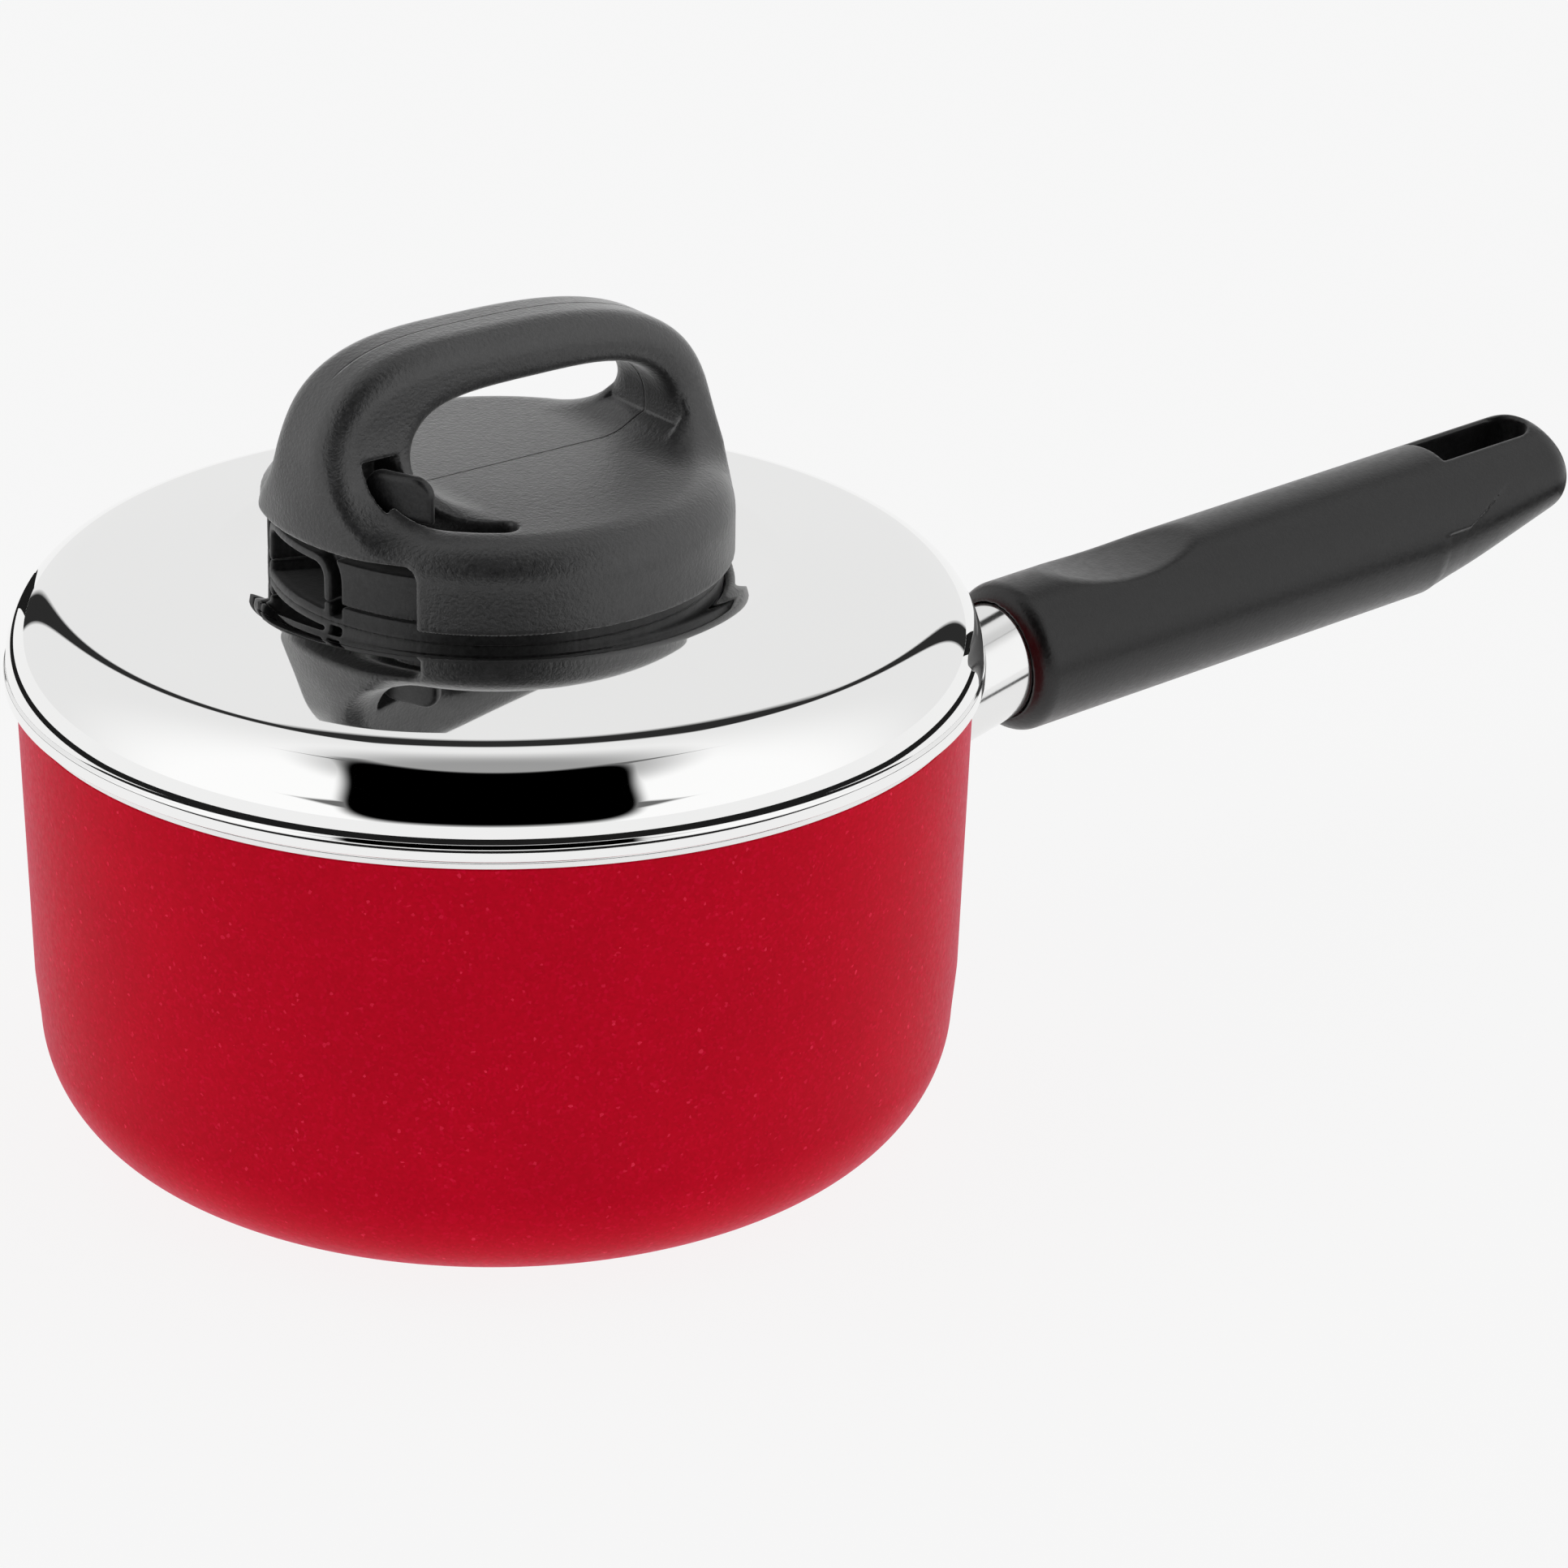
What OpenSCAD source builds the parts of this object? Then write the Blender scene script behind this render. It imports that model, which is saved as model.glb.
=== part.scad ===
// Saucepan with a one-sheet metal lid, a vented arch knob and a single long grip.
// The frame: base centre at the origin, +Z up, +X along the grip. Millimetres.

/* [Pan] */
// Outer diameter over the rim
pan_d = 164; // [120:1:240]
// Height from the base to the top of the rim
pan_h = 83.2; // [50:0.2:140]
// Wall thickness
wall_t = 1.6; // [1.2:0.1:4]
// Lean of the wall, narrower at the base, in degrees
wall_lean = 1.5; // [0:0.1:6]
// Outer radius of the corner between wall and base
corner_r = 22; // [8:0.5:35]
// Floor thickness
floor_t = 2.8; // [2:0.1:6]
// Height of the bright trim ring on the rim
trim_h = 1.8; // [1:0.1:4]
// Thickness of the trim ring
trim_t = 0.4; // [0.3:0.05:0.8]
// Distance from the base's flat edge in to the steel plate
plate_inset = 1.87; // [1:0.01:30]
// Thickness of the steel plate
plate_t = 1; // [0.6:0.1:2]

/* [Lid] */
// Sheet thickness of the lid
lid_t = 0.8; // [0.5:0.1:1.5]
// How far the lid stands out past the rim of the pan
lid_overhang = 2; // [1:0.1:5]
// Gap between the rim of the pan and the lid resting on it
seat_gap = 0.3; // [0.1:0.05:0.8]
// Height of the rolled edge of the lid
bead_h = 2.6; // [1.5:0.1:5]
// Radius of the lid's shoulder
shoulder_r = 14; // [6:0.5:25]
// Rise of the lid from the shoulder to the raised ring
crown_rise = 3; // [1:0.1:8]
// Distance from the knob cap out to the raised ring
ring_margin = 7.8; // [5:0.1:20]
// Depth of the flat seat of the knob below the raised ring
seat_drop = 1.3; // [0.5:0.1:3]
// Depth of the lip that centres the lid in the pan
lip_h = 6; // [3:0.5:12]
// Gap between the lip and the trim ring
lip_gap = 0.5; // [0.3:0.1:1.5]
// How far the lid lifts on its stand-in slide
lid_lift = 60; // [40:5:200]

/* [Knob] */
// Outer diameter of the knob cap
cap_d = 82; // [70:1:100]
// Gap between the lid and the skirt of the cap
skirt_gap = 2.3; // [1.5:0.1:4]
// Height of the cap from the skirt to its flat top
cap_h = 15.2; // [14:0.2:24]
// Radius of the cap's upper edge
cap_edge_r = 8; // [4:0.5:9]
// Wall thickness of the cap's skirt
cap_wall = 1.8; // [1.4:0.1:3]
// Thickness of the cap's top
cap_top_t = 2.5; // [2:0.1:4]
// Height of the arch above the cap's top
arch_h = 26.8; // [22:0.2:45]
// How far the arch's highest point stands off the middle, towards the steam outlet
arch_shift = 8; // [0:0.5:14]
// Width of the arch
arch_w = 17; // [12:0.5:24]
// Thickness of the arch at its crown
arch_t = 10.4; // [6:0.2:14]
// Thickness of the arch's leg over the steam outlet
vent_leg_t = 18.5; // [12:0.5:24]
// Thickness of the arch's other leg
back_leg_t = 9.5; // [6:0.5:16]

/* [Steam outlet] */
// Azimuth of the steam outlet, counted from the grip, in degrees
vent_az = 172; // [165:1:180]
// Half of the outlet's opening, in degrees
vent_half = 15; // [8:0.5:18]
// Half of the skirt's window round the outlet, in degrees
window_half = 43.7; // [35:0.1:50]
// Height of the skirt's window
window_h = 10.8; // [8:0.2:12]
// Thickness of the outlet's frame
frame_t = 1.8; // [1:0.1:3]
// Azimuth of the slider's tab when the outlet is shut, in degrees
tab_az = 204; // [200:1:210]
// Travel of the slider, in degrees
slider_travel = 32; // [20:1:36]
// Distance from the cap's edge in to the middle of the slider's slot
slot_inset = 11.2; // [10:0.1:14]
// Width of the slider's slot
slot_w = 4.8; // [4:0.1:7]
// Height of the tab above the cap's top
tab_h = 8.3; // [5:0.1:12]
// Half of the tab, in degrees
tab_half = 11.7; // [8:0.1:14]
// Diameter of the steel pin that the slider turns on
pivot_d = 5; // [3:0.5:8]
// Radial clearance of the slider on its pin
pivot_fit = 0.05; // [0.02:0.01:0.1]

/* [Grip] */
// Distance from the wall of the pan to the grip
guard_l = 30.5; // [18:0.5:50]
// Width of the step from the grip down to the flame guard
guard_step = 3.55; // [1:0.05:5]
// Wall thickness of the flame guard
guard_t = 0.8; // [0.5:0.1:1.5]
// Rise of the flame guard, in degrees
guard_rise = 13.8; // [0:0.2:25]
// Depth of the grip's axis below the rim, at the radius of the rim
grip_drop = 27.6; // [18:0.2:45]
// Rise of the grip, in degrees
grip_rise = 2.4; // [0:0.1:15]
// Length of the grip
grip_l = 141.2; // [110:0.1:200]
// Diameter of the grip
grip_d = 28.5; // [22:0.5:36]
// Radius of the grip's front edge
grip_edge_r = 4; // [2:0.5:8]
// Depth of the thumb rest
scoop_depth = 2.6; // [1:0.1:4]
// Length of the thumb rest
scoop_l = 34; // [20:1:50]
// Width of the hanging slot
hang_w = 10; // [6:0.5:14]
// Length of the hanging slot
hang_l = 25.3; // [12:0.1:30]
// Distance from the tip of the grip to the hanging slot
hang_end = 6.2; // [5:0.1:20]
// Angle of the underside's taper towards the tip, in degrees
taper_angle = 15.5; // [5:0.5:18]

/* [Fasteners] */
// Diameter of the tie screw in the grip
tie_d = 5; // [4:0.5:6]
// Diameter of the tie screw's head
tie_head_d = 9; // [7:0.5:10]
// Diameter of the knob's two screws
knob_screw_d = 4; // [3:0.5:5]
// Distance from the cap's edge in to the knob's screws
knob_screw_inset = 10; // [8.5:0.1:13]
// Azimuth of the knob's screws, either side of the grip, in degrees
knob_screw_az = 75; // [50:1:90]
// Clearance of screws in their holes, across the diameter
hole_fit = 0.4; // [0.2:0.1:1]

/* [Hidden] */
$fn = 96;
eps = 0.01;
cut = 1;

// Pan
pan_r = pan_d / 2;
lean = tan(wall_lean);
trim_z = pan_h - trim_h;
base_r = pan_r - lean * trim_z;
shell_top = pan_h - trim_t;
plate_d = 2 * (base_r - corner_r - plate_inset);

// Lid
lid_r = pan_r + lid_overhang;
lid_z = pan_h + seat_gap;
bead_z = lid_z + bead_h;
neck = 0.4;
ring_w = 1.6;
ring_r = cap_d / 2 + ring_margin;
shoulder = min(shoulder_r, lid_r - neck - ring_r - ring_w - 2);
shoulder_z = bead_z + 0.4;
shoulder_x = lid_r - neck - shoulder;
plateau_z = shoulder_z + shoulder;
ring_z = plateau_z + crown_rise;
seat_r = cap_d / 2 + 2;
seat_z = ring_z - seat_drop;
lip_r = pan_r - trim_t - wall_t - trim_t - lip_gap;
grommet_d = 10;
grommet_bore = 6;

// Knob
cap_r = cap_d / 2;
slot_r = cap_r - slot_inset;
knob_screw_r = cap_r - knob_screw_inset;
skirt_z = seat_z + skirt_gap;
top_z = skirt_z + cap_h;
ceiling_z = top_z - cap_top_t;
inner_r = cap_r - cap_wall;
ring_gap = 0.3;
body_r = inner_r - ring_gap;
body_wall = 1.7;
base_floor = 1.5;
split_z = skirt_z + 0.8;
split_gap = 0.3;
deck_z = top_z - 6.3;
deck_t = 1.5;
window_z = skirt_z + window_h;
window_end = vent_az + window_half;
outlet_half = vent_half + frame_t / body_r * 180 / PI;
outlet_gap = 3.5;
chamber_r = slot_r - 8.3;
chamber_wall = 1.5;
gate_r = chamber_r + chamber_wall + 1;
gate_t = 1.4;
gate_half = vent_half + 1.5;
gate_room = 0.5;
hub_gap = 0.4;
hub_z = deck_z + hub_gap;
hub_r = 6.5;
arm_t = 2.2;
hub_top = hub_z + arm_t + 0.4;
washer_t = 0.4;
stem_play = 0.45;
stem_half = 3.4;
tab_t = 2.4;
tab_r = slot_r + slot_w / 2 + 0.2;
tab_gap = 0.3;
boss_d = knob_screw_d + 5;
insert_d = knob_screw_d + 1.8;
insert_l = 4.6;
seal_r = body_r - 3.1;
seal_w = 2;
seal_t = 1;

// Grip
front_x = guard_l;
tip_x = guard_l + grip_l;
grip_r = grip_d / 2;
grip_z = pan_h - grip_drop;
guard_d = grip_d - 2 * guard_step;
taper_x = tip_x - 38.3;
taper_l = 37.5;
tip_edge_r = 8;
hang_x1 = tip_x - hang_end;
hang_x0 = hang_x1 - hang_l;
scoop_x = front_x + 30;
scoop_r = (scoop_l * scoop_l / 4 + scoop_depth * scoop_depth) / (2 * scoop_depth);
guard_in = 6;
bracket_w = 12;
bracket_h = 6;
pad_t = 1.8;
foot_d = guard_d - 2 * guard_t - 1.4;
nut_d = tie_d + 4.2;
neck_d = nut_d + 2.8;
nut_l = 4;
nut_x = front_x + 6;
head_l = 3.6;
head_x = hang_x0 - 8;
lock_t = 1.3;

// Points of an arc in a section, from one angle to another
function arc(x, z, r, from, to, n) =
    [for (i = [0:n]) let (a = from + (to - from) * i / n) [x + r * cos(a), z + r * sin(a)]];

// Points of a quarter of a rounded-square curve, from the side to the top
function quarter(a, b, power, n) =
    [for (i = [0:n]) let (t = 90 * i / n) [a * pow(cos(t), 2 / power), b * pow(sin(t), 2 / power)]];

// Radius of the outside of the pan's wall at a height
function wall_r(z) = pan_r - lean * (trim_z - z);

// A ring sector about Z, from one azimuth to another
module sector(r0, r1, z0, z1, from, to) {
    rotate([0, 0, from])
        rotate_extrude(angle = to - from)
            translate([r0, z0])
                square([r1 - r0, z1 - z0]);
}

module ring(r0, r1, z0, z1) {
    rotate_extrude()
        translate([r0, z0])
            square([r1 - r0, z1 - z0]);
}

module post(d, z0, z1) {
    translate([0, 0, z0])
        cylinder(d = d, h = z1 - z0);
}

module at_knob_screws() {
    for (side = [-1, 1])
        rotate([0, 0, side * knob_screw_az])
            translate([knob_screw_r, 0, 0])
                children();
}

// Moves a child to the grip's axis: local X runs out along the grip
module on_grip() {
    translate([pan_r, 0, grip_z])
        rotate([0, -grip_rise, 0])
            children();
}

// Moves a child to the flame guard's axis, with X = 0 at the front of the grip
module on_guard() {
    on_grip()
        translate([front_x, 0, 0])
            rotate([0, grip_rise - guard_rise, 0])
                children();
}

module rod(d, x0, x1) {
    translate([x0, 0, 0])
        rotate([0, 90, 0])
            cylinder(d = d, h = x1 - x0);
}

module pan_shell() {
    inner_corner = corner_r - wall_t;
    color("#b8001f")
        difference() {
            rotate_extrude()
                polygon(concat(
                    [[0, 0], [base_r - corner_r, 0]],
                    arc(base_r - corner_r, corner_r, corner_r, -80, -wall_lean, 9),
                    [[pan_r, trim_z],
                     [pan_r - trim_t, trim_z],
                     [pan_r - trim_t, shell_top],
                     [pan_r - trim_t - wall_t, shell_top],
                     [pan_r - trim_t - wall_t, trim_z]],
                    arc(base_r - corner_r - trim_t, floor_t + inner_corner, inner_corner,
                        -wall_lean, -90, 9),
                    [[0, floor_t]]));
            post(plate_d, -cut, plate_t);
        }
}

module rim_trim() {
    outer = pan_r;
    inner = pan_r - trim_t * 2 - wall_t;
    color("#d8d8d6")
        rotate_extrude()
            polygon([
                [outer, trim_z],
                [outer, pan_h - trim_t],
                [outer - trim_t, pan_h],
                [inner + trim_t, pan_h],
                [inner, pan_h - trim_t],
                [inner, trim_z],
                [inner + trim_t, trim_z],
                [inner + trim_t, shell_top],
                [outer - trim_t, shell_top],
                [outer - trim_t, trim_z]]);
}

module base_plate() {
    color("#9a9a98")
        difference() {
            post(plate_d, 0, plate_t);
            post(12, -cut, plate_t - 0.4);
        }
}

// Solid from the pan's axis out to the wall, and a little past it
module wall_cone(grow) {
    rotate_extrude()
        polygon([
            [0, -cut],
            [wall_r(-cut) + grow, -cut],
            [wall_r(pan_h) + grow, pan_h],
            [0, pan_h]]);
}

module handle_bracket() {
    color("#8c8c8a")
        difference() {
            union() {
                intersection() {
                    on_guard()
                        rod(foot_d, -front_x - 10, -front_x + 12);
                    wall_cone(pad_t);
                }
                on_guard()
                    translate([-front_x - 6, -bracket_w / 2, -bracket_h / 2])
                        cube([front_x + 8, bracket_w, bracket_h]);
                on_grip()
                    rod(neck_d, front_x - 1, nut_x + nut_l + 1);
            }
            wall_cone(0);
            on_grip() {
                rod(nut_d, nut_x, nut_x + nut_l + 2);
                rod(tie_d + hole_fit, front_x - cut * 3, nut_x + cut);
            }
        }
}

module bracket_nut() {
    color("#c2b280")
        on_grip()
            difference() {
                translate([nut_x, 0, 0])
                    rotate([0, 90, 0])
                        cylinder(d = nut_d, h = nut_l, $fn = 6);
                rod(tie_d + 0.1, nut_x - cut, nut_x + nut_l + cut);
            }
}

module flame_guard() {
    color("#d8d8d6")
        difference() {
            on_guard()
                difference() {
                    rod(guard_d, -front_x - 10, guard_in);
                    rod(guard_d - 2 * guard_t, -front_x - 11, guard_in + cut);
                }
            wall_cone(0.02);
        }
}

// A bar of revolution along X with a rounded far edge
module round_bar(r, x0, x1, near_edge, far_edge) {
    rotate([0, 90, 0])
        rotate_extrude()
            polygon(concat(
                [[0, x0]],
                arc(r - near_edge, x0 + near_edge, near_edge, -90, 0, 4),
                arc(r - far_edge, x1 - far_edge, far_edge, 0, 90, 7),
                [[0, x1]]));
}

// The grip's outside: a round bar, narrowed below the tip by a second bar that rises
module grip_outside() {
    difference() {
        round_bar(grip_r, front_x, tip_x, grip_edge_r, tip_edge_r);
        difference() {
            translate([taper_x, -grip_d, -grip_d])
                cube([tip_x - taper_x + 10, 2 * grip_d, 2 * grip_d]);
            translate([taper_x, 0, 0.17])
                rotate([0, -taper_angle, 0])
                    round_bar(grip_r + 0.15, -20, taper_l, 1, 7);
        }
    }
}

module hanging_slot(grow) {
    width = hang_w + 2 * grow;
    translate([hang_x0 - grow, -width / 2, -grip_d])
        cube([hang_l - hang_w / 2 + grow, width, 2 * grip_d]);
    translate([hang_x1 - hang_w / 2, 0, -grip_d])
        cylinder(d = width, h = 2 * grip_d);
}

module handle_grip() {
    color("#1c1c1c")
        difference() {
            on_grip()
                difference() {
                    grip_outside();
                    translate([scoop_x, 0, grip_r - scoop_depth + scoop_r])
                        rotate([90, 0, 0])
                            cylinder(r = scoop_r, h = grip_d + 2, center = true);
                    hanging_slot(0);
                    rod(neck_d + hole_fit, front_x - cut, nut_x + nut_l + 1);
                    rod(tie_d + hole_fit, front_x, hang_x0 + cut);
                    rod(tie_head_d + 2 * hole_fit, head_x - lock_t, hang_x0 + cut);
                }
            on_guard()
                rod(guard_d + hole_fit, -10, guard_in);
        }
}

module tie_screw() {
    socket_d = tie_d - 1;
    color("#a8a8a6")
        on_grip()
            difference() {
                union() {
                    rod(tie_d, nut_x - 2, head_x + eps);
                    rod(tie_head_d, head_x, head_x + head_l);
                }
                translate([head_x + head_l - 2.5, 0, 0])
                    rotate([0, 90, 0])
                        cylinder(d = socket_d, h = 3.5, $fn = 6);
            }
}

module lock_washer() {
    color("#b4b4b2")
        on_grip()
            difference() {
                rod(tie_head_d, head_x - lock_t, head_x);
                rod(tie_d + 0.2, head_x - lock_t - cut, head_x + cut);
            }
}

module lid_shell() {
    t = lid_t;
    upper = concat(
        [[lid_r, lid_z], [lid_r, bead_z - 0.3], [lid_r - neck, bead_z + 0.1]],
        arc(shoulder_x, shoulder_z, shoulder, 0, 90, 12),
        [[ring_r + ring_w, ring_z - 0.3],
         [ring_r, ring_z],
         [ring_r - ring_w, ring_z - 0.2],
         [seat_r, seat_z],
         [grommet_d / 2, seat_z]]);
    lower = concat(
        [[grommet_d / 2, seat_z - t],
         [seat_r, seat_z - t],
         [ring_r - ring_w, ring_z - 0.2 - t],
         [ring_r, ring_z - t],
         [ring_r + ring_w, ring_z - 0.3 - t]],
        arc(shoulder_x, shoulder_z, shoulder - t, 90, 0, 12),
        [[lid_r - neck - t, lid_z + t],
         [lip_r, lid_z + t],
         [lip_r - t, lid_z],
         [lip_r - t, lid_z - lip_h],
         [lip_r, lid_z - lip_h],
         [lip_r, lid_z]]);
    color("#e2e2e0")
        difference() {
            rotate_extrude()
                polygon(concat(upper, lower));
            at_knob_screws()
                post(knob_screw_d + hole_fit, seat_z - 2, seat_z + cut);
        }
}

module backing_plate() {
    plate_top = seat_z - lid_t;
    color("#9c9c9a")
        difference() {
            ring(grommet_d + 3, knob_screw_r + 5, plate_top - 1.1, plate_top);
            at_knob_screws()
                post(knob_screw_d + hole_fit, plate_top - 2, plate_top + cut);
        }
}

module knob_screws() {
    head_z = seat_z - lid_t - 1.1;
    color("#b0b0ae")
        at_knob_screws()
            difference() {
                union() {
                    post(knob_screw_d, head_z - eps, deck_z + insert_l);
                    post(knob_screw_d * 2, head_z - 2.2, head_z);
                }
                translate([-knob_screw_d, -0.5, head_z - 2.2 - cut])
                    cube([knob_screw_d * 2, 1, cut + 0.9]);
            }
}

module insert_nuts() {
    color("#b08d3c")
        at_knob_screws()
            difference() {
                post(insert_d, deck_z + 0.1, deck_z + 0.1 + insert_l);
                post(knob_screw_d + 0.1, deck_z - cut, deck_z + insert_l + cut);
            }
}

module vent_grommet() {
    under = seat_z - lid_t;
    color("#3a3a3c")
        rotate_extrude()
            polygon([
                [grommet_bore / 2, under - 1.2],
                [grommet_d / 2 + 2.2, under - 1.2],
                [grommet_d / 2 + 2.2, under],
                [grommet_d / 2, under],
                [grommet_d / 2, seat_z + base_floor + 0.8],
                [grommet_bore / 2, seat_z + base_floor + 0.8]]);
}

module knob_seal() {
    color("#4a4a4c")
        ring(seal_r - seal_w, seal_r, seat_z, seat_z + seal_t);
}

// Gaps either side of the outlet's frame
module outlet_gaps(z0, z1) {
    for (side = [-1, 1]) {
        middle = vent_az + side * (outlet_half + outlet_gap / 2);
        sector(seal_r + 0.5, cap_r, z0, z1, middle - outlet_gap / 2, middle + outlet_gap / 2);
    }
}

// The two side walls of the outlet's duct, which the duct itself then trims
module duct_walls(z0, z1) {
    for (side = [-1, 1]) {
        middle = vent_az + side * (outlet_half + vent_half - 1) / 2;
        half = (outlet_half - vent_half) / 2;
        sector(chamber_r + chamber_wall / 2, body_r - body_wall / 2, z0 + 0.1, z1 - 0.1,
            middle - half, middle + half);
    }
}

module knob_base() {
    z0 = seat_z;
    z1 = split_z;
    color("#2a2a2b")
        difference() {
            union() {
                ring(grommet_d / 2 + 0.1, body_r, z0, z0 + base_floor);
                ring(body_r - body_wall, body_r, z0, z1);
                ring(chamber_r, chamber_r + chamber_wall, z0, z1);
                duct_walls(z0, z1);
                at_knob_screws()
                    post(boss_d, z0, z1);
            }
            sector(chamber_r - cut, body_r + cut, z0 + base_floor, z1 + cut,
                vent_az - vent_half, vent_az + vent_half);
            outlet_gaps(z0 + 0.8, z1 + cut);
            ring(seal_r - seal_w, seal_r, z0 - cut, z0 + seal_t);
            at_knob_screws()
                post(knob_screw_d + hole_fit, z0 - cut, z1 + cut);
        }
}

module vent_housing() {
    z0 = split_z + split_gap;
    z1 = deck_z;
    color("#2e2e2f")
        difference() {
            union() {
                ring(pivot_d / 2, body_r, z1 - deck_t, z1);
                ring(body_r - body_wall, body_r, z0, z1);
                ring(chamber_r, chamber_r + chamber_wall, z0, z1);
                ring(pivot_d / 2, pivot_d / 2 + 2, z1 - 4, z1);
                duct_walls(z0, z1);
                at_knob_screws()
                    post(boss_d, z0, z1);
            }
            sector(chamber_r - cut, body_r + cut, z0 - cut, z1 - deck_t,
                vent_az - vent_half, vent_az + vent_half);
            sector(gate_r - gate_room, gate_r + gate_t + gate_room, z0 - cut, z1 + cut,
                vent_az - gate_half - 1, vent_az + gate_half + slider_travel + 1);
            outlet_gaps(z0 - cut, z1 + cut);
            at_knob_screws()
                post(knob_screw_d + hole_fit, z0 - cut, z1 + cut);
        }
}

// Side outline of the arch, with its opening
module arch_outline() {
    left = quarter(cap_r - arch_shift, arch_h, 2.9, 12);
    right = quarter(cap_r + arch_shift, arch_h, 2.9, 12);
    gap_h = arch_h - arch_t;
    gap_x = (vent_leg_t - back_leg_t) / 2;
    gap_half = cap_r - (vent_leg_t + back_leg_t) / 2;
    gap_left = quarter(gap_half, gap_h, 4, 10);
    gap_right = quarter(gap_half, gap_h, 3.2, 10);
    difference() {
        polygon(concat(
            [[cap_r, -6]],
            [for (p = right) [p[0] - arch_shift, p[1]]],
            [for (i = [11:-1:0]) [-left[i][0] - arch_shift, left[i][1]]],
            [[-cap_r, -6]]));
        polygon(concat(
            [[gap_x + gap_half, -7]],
            [for (p = gap_right) [gap_x + p[0], p[1]]],
            [for (i = [9:-1:0]) [gap_x - gap_left[i][0], gap_left[i][1]]],
            [[gap_x - gap_half, -7]]));
    }
}

// End outline of the arch: a bar with rounded upper edges
module arch_end_outline() {
    edge = arch_w * 0.3;
    polygon(concat(
        [[arch_w / 2, -8]],
        arc(arch_w / 2 - edge, arch_h - edge, edge, 0, 90, 5),
        arc(edge - arch_w / 2, arch_h - edge, edge, 90, 180, 5),
        [[-arch_w / 2, -8]]));
}

module arch() {
    translate([0, 0, top_z])
        intersection() {
            rotate([90, 0, 0])
                linear_extrude(height = arch_w + 2, center = true)
                    arch_outline();
            rotate([90, 0, 90])
                linear_extrude(height = cap_d + 2, center = true)
                    arch_end_outline();
            translate([0, 0, -10])
                cylinder(r = cap_r - 0.02, h = arch_h + 12);
        }
}

module knob_cap() {
    slot0 = slot_r - slot_w / 2;
    slot1 = slot_r + slot_w / 2;
    slot_end = tab_az + slider_travel + 1;
    room_edge = 4;
    color("#232324")
        difference() {
            union() {
                rotate_extrude()
                    polygon(concat(
                        [[0, skirt_z], [cap_r, skirt_z]],
                        arc(cap_r - cap_edge_r, top_z - cap_edge_r, cap_edge_r, 0, 90, 8),
                        [[0, top_z]]));
                arch();
            }
            rotate_extrude()
                polygon([
                    [0, skirt_z - cut],
                    [inner_r, skirt_z - cut],
                    [inner_r, deck_z + 0.4],
                    [inner_r - room_edge, ceiling_z],
                    [0, ceiling_z]]);
            sector(inner_r - 2, cap_r + cut, skirt_z - cut, window_z,
                vent_az - window_half, window_end);
            sector(slot0, slot1, ceiling_z - cut, top_z + cut, tab_az - 5, slot_end);
            rotate([0, 0, slot_end])
                translate([slot_r, 0, 0])
                    post(slot_w + 0.3, ceiling_z - cut, top_z + cut);
            sector(tab_r - tab_t - 2.2, tab_r + 1.8, top_z, top_z + tab_h + 1.4,
                tab_az - tab_half - 3.8, tab_az - 1);
            at_knob_screws()
                post(insert_d, ceiling_z - cut, deck_z + 0.1 + insert_l);
        }
    color("#232324")
        at_knob_screws()
            difference() {
                post(boss_d, deck_z + 0.1, ceiling_z + eps);
                post(insert_d, deck_z - cut, deck_z + 0.1 + insert_l);
            }
}

module pivot_pin() {
    color("#b8b8b6")
        union() {
            post(pivot_d, deck_z - 4, hub_top + washer_t);
            post(pivot_d + 3, deck_z - 5, deck_z - 4);
        }
}

module steam_slider() {
    color("#2c2c2e")
        difference() {
            union() {
                post(hub_r * 2, hub_z, hub_top);
                sector(hub_r - 2, slot_r, hub_z, hub_z + arm_t, tab_az - 8, tab_az + 8);
                sector(gate_r - 2, gate_r + gate_t + 2, hub_z, hub_z + arm_t,
                    vent_az - gate_half, tab_az + 8);
                sector(slot_r - slot_w / 2 + stem_play, slot_r + slot_w / 2 - stem_play,
                    hub_z, top_z + tab_gap + 2, tab_az - stem_half, tab_az + stem_half);
                sector(tab_r - tab_t, tab_r, top_z + tab_gap, top_z + tab_h,
                    tab_az - tab_half, tab_az + tab_half);
            }
            post(pivot_d + 2 * pivot_fit, hub_z - cut, hub_top + cut);
        }
}

module steam_gate() {
    color("#55555a")
        sector(gate_r, gate_r + gate_t, split_z + split_gap + 0.5, hub_z,
            vent_az - gate_half, vent_az + gate_half);
}

module friction_washer() {
    color("#c0c0be")
        ring(pivot_d / 2 + 0.2, hub_r - 0.5, hub_top, hub_top + washer_t);
}

pan_shell();
rim_trim();
base_plate();
handle_bracket();
bracket_nut();
flame_guard();
handle_grip();
tie_screw();
lock_washer();
lid_shell();
backing_plate();
knob_screws();
insert_nuts();
vent_grommet();
knob_seal();
knob_base();
vent_housing();
knob_cap();
pivot_pin();
steam_slider();
steam_gate();
friction_washer();
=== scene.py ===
"""Looks of the saucepan: enamelled pan, mirror lid with a vented arch knob, moulded grip.

Every length below is in millimetres in the frame of the CAD model, and becomes metres where a mesh is made.
"""
import math

import bpy
import numpy as np
import openvdb
from mathutils import Matrix, Vector


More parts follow.
